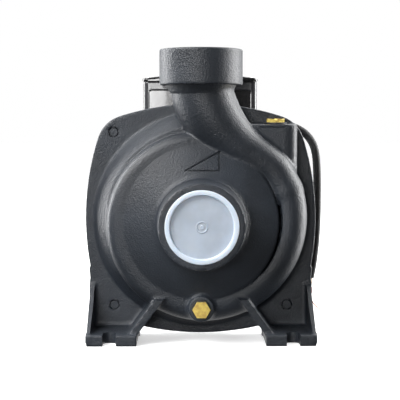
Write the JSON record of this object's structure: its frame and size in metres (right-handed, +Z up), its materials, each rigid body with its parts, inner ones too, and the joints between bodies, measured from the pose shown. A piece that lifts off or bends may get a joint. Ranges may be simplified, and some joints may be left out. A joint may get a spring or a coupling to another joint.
{
  "type": "centrifugal water pump",
  "caption": "Close-coupled electric centrifugal pump with a cast volute casing, axial suction port, upright discharge neck and a finned motor.",
  "frame": {"origin": "centre of the suction face, on the shaft axis", "axes": "+Y back along the shaft from the suction side to the fan, +Z up through the outlet, +X to the right as seen from the suction side"},
  "size_m": [0.2284, 0.329, 0.265],
  "materials": {
    "cast_paint": "semi-gloss paint on a sand casting",
    "zinc_steel": "zinc plated",
    "bright_steel": "ground",
    "aluminium": "die cast",
    "brass": "machined",
    "rubber": "moulded",
    "black_plastic": "moulded",
    "matte_black": "fine grained",
    "copper": "copper wire",
    "ceramic": "fired",
    "carbon": "lapped",
    "lamination": "stacked sheet",
    "cap_plastic": "thin moulded cap",
    "lead_sheath": "extruded sheath",
    "core_insulation": "wire insulation",
    "crimp": "crimp sleeve",
    "capacitor_shell": "plain can"
  },
  "bodies": {
    "pump": {"pump_casing": "cast_paint", "casing_bolts": "zinc_steel", "casing_oring": "rubber", "motor_bracket": "cast_paint", "seal_seat": "ceramic", "stator_core": "lamination", "stator_windings": "copper", "front_bearing_outer": "bright_steel", "rear_bearing_outer": "bright_steel", "preload_spring": "bright_steel", "motor_frame": "aluminium", "rear_shield": "aluminium", "tie_rods": "zinc_steel", "fan_cover": "matte_black", "fan_cover_screws": "zinc_steel", "motor_foot": "matte_black", "foot_screws": "zinc_steel", "terminal_base": "black_plastic", "base_screws": "zinc_steel", "terminal_block": "ceramic", "terminal_studs": "brass", "capacitor": "capacitor_shell", "capacitor_clip": "matte_black", "gland_body": "matte_black", "gland_locknut": "matte_black", "gland_nut": "matte_black", "power_lead": "lead_sheath", "lead_cores": "core_insulation", "lead_crimp": "crimp", "lead_strands": "copper", "rating_plate": "zinc_steel", "plate_rivets": "zinc_steel", "earth_screw": "brass"},
    "rotor": {"impeller": "brass", "impeller_washer": "bright_steel", "impeller_nut": "bright_steel", "impeller_key": "bright_steel", "seal_head": "carbon", "seal_spring": "bright_steel", "slinger": "rubber", "shaft": "bright_steel", "rotor_core": "aluminium", "front_bearing_inner": "bright_steel", "rear_bearing_inner": "bright_steel", "cooling_fan": "matte_black", "fan_circlip": "bright_steel"},
    "front_balls": {"front_bearing_balls": "bright_steel"},
    "rear_balls": {"rear_bearing_balls": "bright_steel"},
    "suction_cap": {"suction_cap": "cap_plastic"},
    "priming_washer": {"priming_washer": "copper"},
    "priming_plug": {"priming_plug": "brass"},
    "drain_washer": {"drain_washer": "copper"},
    "drain_plug": {"drain_plug": "brass"},
    "box_lid": {"terminal_lid": "black_plastic", "lid_screws": "zinc_steel", "terminal_gasket": "rubber"}
  },
  "joints": [
    {"name": "shaft_spin", "type": "hinge", "parent": "pump", "child": "rotor", "pos_m": [0, 0, 0], "axis": [0, 1, 0], "continuous": true},
    {"name": "front_balls_spin", "type": "hinge", "parent": "pump", "child": "front_balls", "pos_m": [0, 0, 0], "axis": [0, 1, 0], "continuous": true},
    {"name": "rear_balls_spin", "type": "hinge", "parent": "pump", "child": "rear_balls", "pos_m": [0, 0, 0], "axis": [0, 1, 0], "continuous": true},
    {"name": "suction_cap_pull", "type": "slide", "parent": "pump", "child": "suction_cap", "axis": [0, -1, 0], "range_m": [0, 0.14]},
    {"name": "priming_plug_turn", "type": "hinge", "parent": "priming_washer", "child": "priming_plug", "pos_m": [0.068, 0.07, 0.088], "axis": [0, 0, 1], "range_deg": [0, 3600]},
    {"name": "priming_plug_lift", "type": "slide", "parent": "pump", "child": "priming_washer", "axis": [0, 0, 1], "range_m": [0, 0.01337]},
    {"name": "drain_plug_turn", "type": "hinge", "parent": "drain_washer", "child": "drain_plug", "pos_m": [0, 0.038, -0.0775], "axis": [0, -1, 0], "range_deg": [0, 3600]},
    {"name": "drain_plug_draw", "type": "slide", "parent": "pump", "child": "drain_washer", "axis": [0, -1, 0], "range_m": [0, 0.01337]},
    {"name": "lid_lift", "type": "slide", "parent": "pump", "child": "box_lid", "axis": [0, 0, 1], "range_m": [0, 0.04]}
  ],
  "couplings": [
    {"joint": "front_balls_spin", "follows": "shaft_spin", "ratio": 0.3815},
    {"joint": "rear_balls_spin", "follows": "shaft_spin", "ratio": 0.3818},
    {"joint": "priming_plug_turn", "follows": "priming_plug_lift", "rad_per_m": 4699.5},
    {"joint": "drain_plug_turn", "follows": "drain_plug_draw", "rad_per_m": 4699.5}
  ]
}
